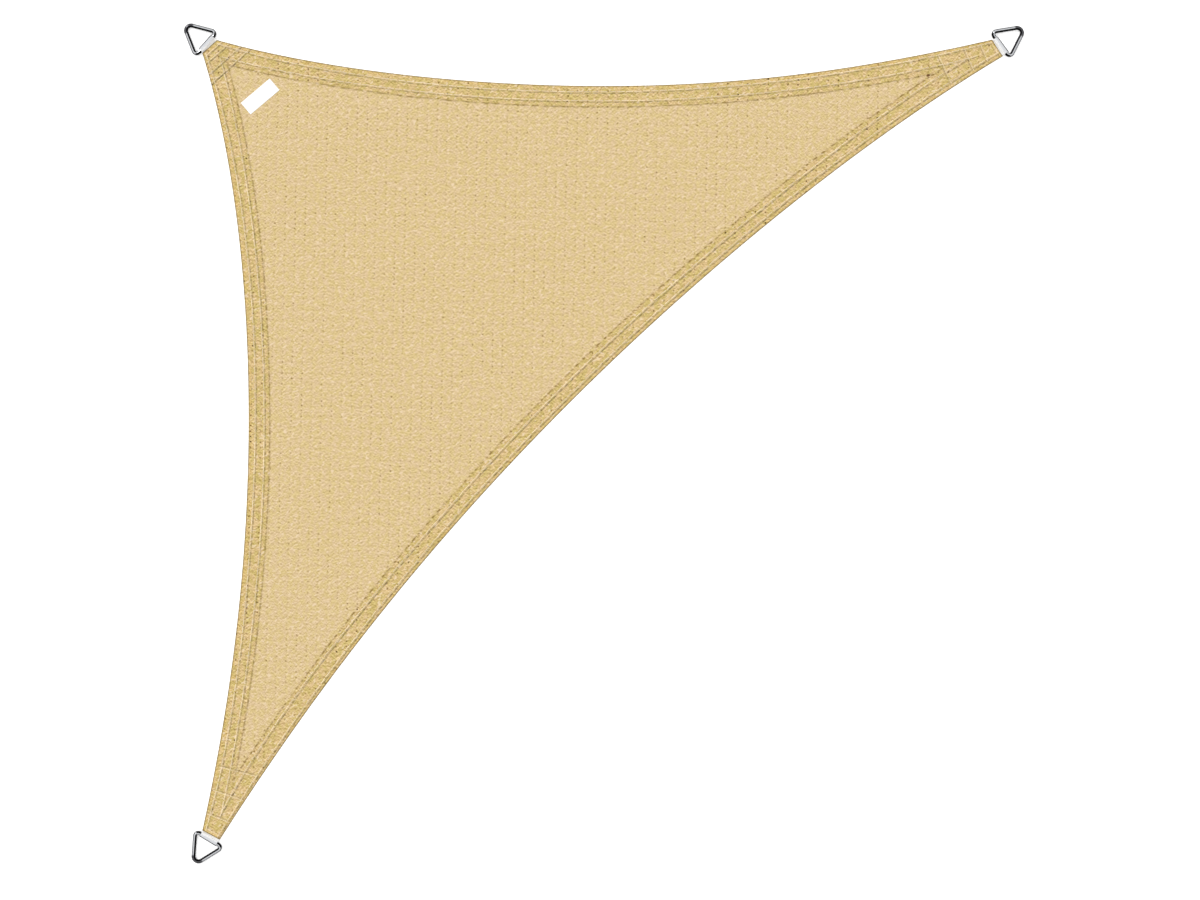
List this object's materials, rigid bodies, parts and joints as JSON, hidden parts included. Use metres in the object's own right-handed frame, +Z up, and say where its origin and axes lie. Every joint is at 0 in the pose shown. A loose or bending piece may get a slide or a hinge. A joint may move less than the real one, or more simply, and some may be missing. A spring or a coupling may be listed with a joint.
{
  "type": "triangular shade sail",
  "caption": "Right-angled triangular knitted shade sail with hollow hemmed edges, laid flat, with a steel ring in a webbing loop at each corner for tensioning.",
  "frame": {"origin": "middle of the outer box, on the plane that the cloth lies on", "axes": "+X along the top edge to the right, +Y up the left edge, +Z up out of the cloth's face"},
  "size_m": [1.9983, 1.9984, 0.0132],
  "materials": {
    "knit": "matte knitted shade cloth, sand beige",
    "webbing": "matte ribbed white webbing",
    "steel": "polished stainless steel rod",
    "label": "satin white woven label, blank"
  },
  "bodies": {
    "root": {"sail": "knit", "loop_top_left": "webbing", "loop_top_right": "webbing", "loop_bottom_left": "webbing", "ring_top_left": "steel", "ring_top_right": "steel", "ring_bottom_left": "steel", "label": "label"}
  },
  "joints": []
}
